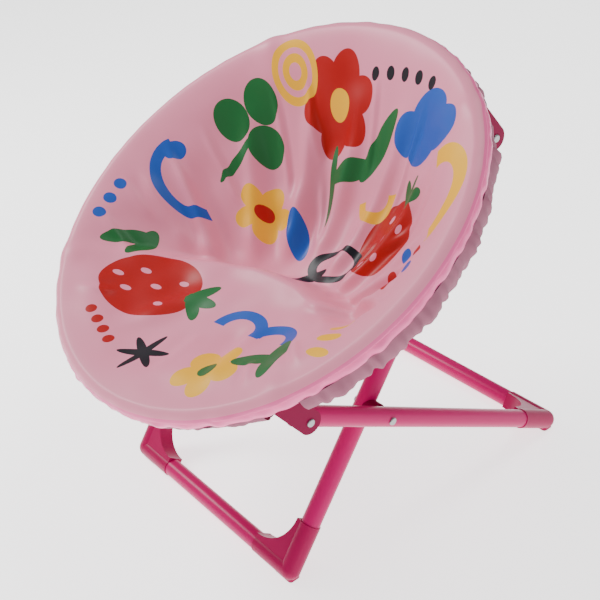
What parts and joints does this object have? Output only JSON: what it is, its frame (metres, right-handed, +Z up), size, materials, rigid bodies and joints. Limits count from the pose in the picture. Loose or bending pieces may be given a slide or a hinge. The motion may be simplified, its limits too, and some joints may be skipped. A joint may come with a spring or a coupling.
{
  "type": "moon chair",
  "caption": "Child's folding moon chair: a padded cloth dish on a hinged round tube rim, carried by crossing U-shaped tube legs that scissor flat.",
  "frame": {"origin": "On the floor, at the centre of the footprint box of the open chair.", "axes": "+Z up; the sitter faces -Y; +X is the sitter's left."},
  "size_m": [0.5182, 0.509, 0.4966],
  "materials": {
    "frame_paint": "glossy magenta powder coat",
    "foot_plastic": "glossy moulded magenta plastic",
    "bracket_plastic": "satin moulded dark pink plastic",
    "rivet_steel": "bright zinc",
    "seat_print": "pale pink printed polyester, slight sheen",
    "hem_satin": "pink satin binding",
    "seat_fill": "white polyester wadding",
    "seat_lining": "matt grey-pink lining cloth"
  },
  "bodies": {
    "front_leg": {"front_floor_bar": "frame_paint", "front_arm_left": "frame_paint", "front_arm_right": "frame_paint", "front_foot_left": "foot_plastic", "front_foot_right": "foot_plastic", "front_arm_plugs": "foot_plastic", "scissor_spacers": "bracket_plastic", "scissor_rivets": "rivet_steel"},
    "rear_leg": {"rear_floor_bar": "frame_paint", "rear_arm_left": "frame_paint", "rear_arm_right": "frame_paint", "rear_foot_left": "foot_plastic", "rear_foot_right": "foot_plastic", "rear_arm_plugs": "foot_plastic"},
    "back_rim": {"rim_back": "frame_paint", "back_bracket_left": "bracket_plastic", "back_bracket_right": "bracket_plastic", "back_bracket_rivets": "rivet_steel", "hinge_rivets": "rivet_steel", "hem_back": "hem_satin", "seat_cloth_back": "seat_print", "seat_padding_back": "seat_fill", "seat_lining_back": "seat_lining"},
    "front_rim": {"rim_front": "frame_paint", "front_bracket_left": "bracket_plastic", "front_bracket_right": "bracket_plastic", "front_bracket_rivets": "rivet_steel", "hem_front": "hem_satin", "seat_cloth_front": "seat_print", "seat_padding_front": "seat_fill", "seat_lining_front": "seat_lining"}
  },
  "joints": [
    {"name": "back_pivot", "type": "hinge", "parent": "front_leg", "child": "back_rim", "pos_m": [0, 0.1715, 0.41598], "axis": [1, 0, 0], "range_deg": [0, 48.6]},
    {"name": "rim_fold", "type": "hinge", "parent": "back_rim", "child": "front_rim", "pos_m": [0, -0.06027, 0.3423], "axis": [-1, 0, 0], "range_deg": [0, 160], "deforming": ["seat_cloth_front", "seat_cloth_back", "seat_padding_front", "seat_padding_back", "seat_lining_front", "seat_lining_back"]},
    {"name": "leg_scissor", "type": "hinge", "parent": "front_leg", "child": "rear_leg", "pos_m": [0, -0.02074, 0.17127], "axis": [-1, 0, 0], "range_deg": [0, 68.5]}
  ],
  "couplings": [
    {"joint": "back_pivot", "follows": "rim_fold", "ratio": 0.3037},
    {"joint": "leg_scissor", "follows": "rim_fold", "ratio": 0.42782}
  ]
}
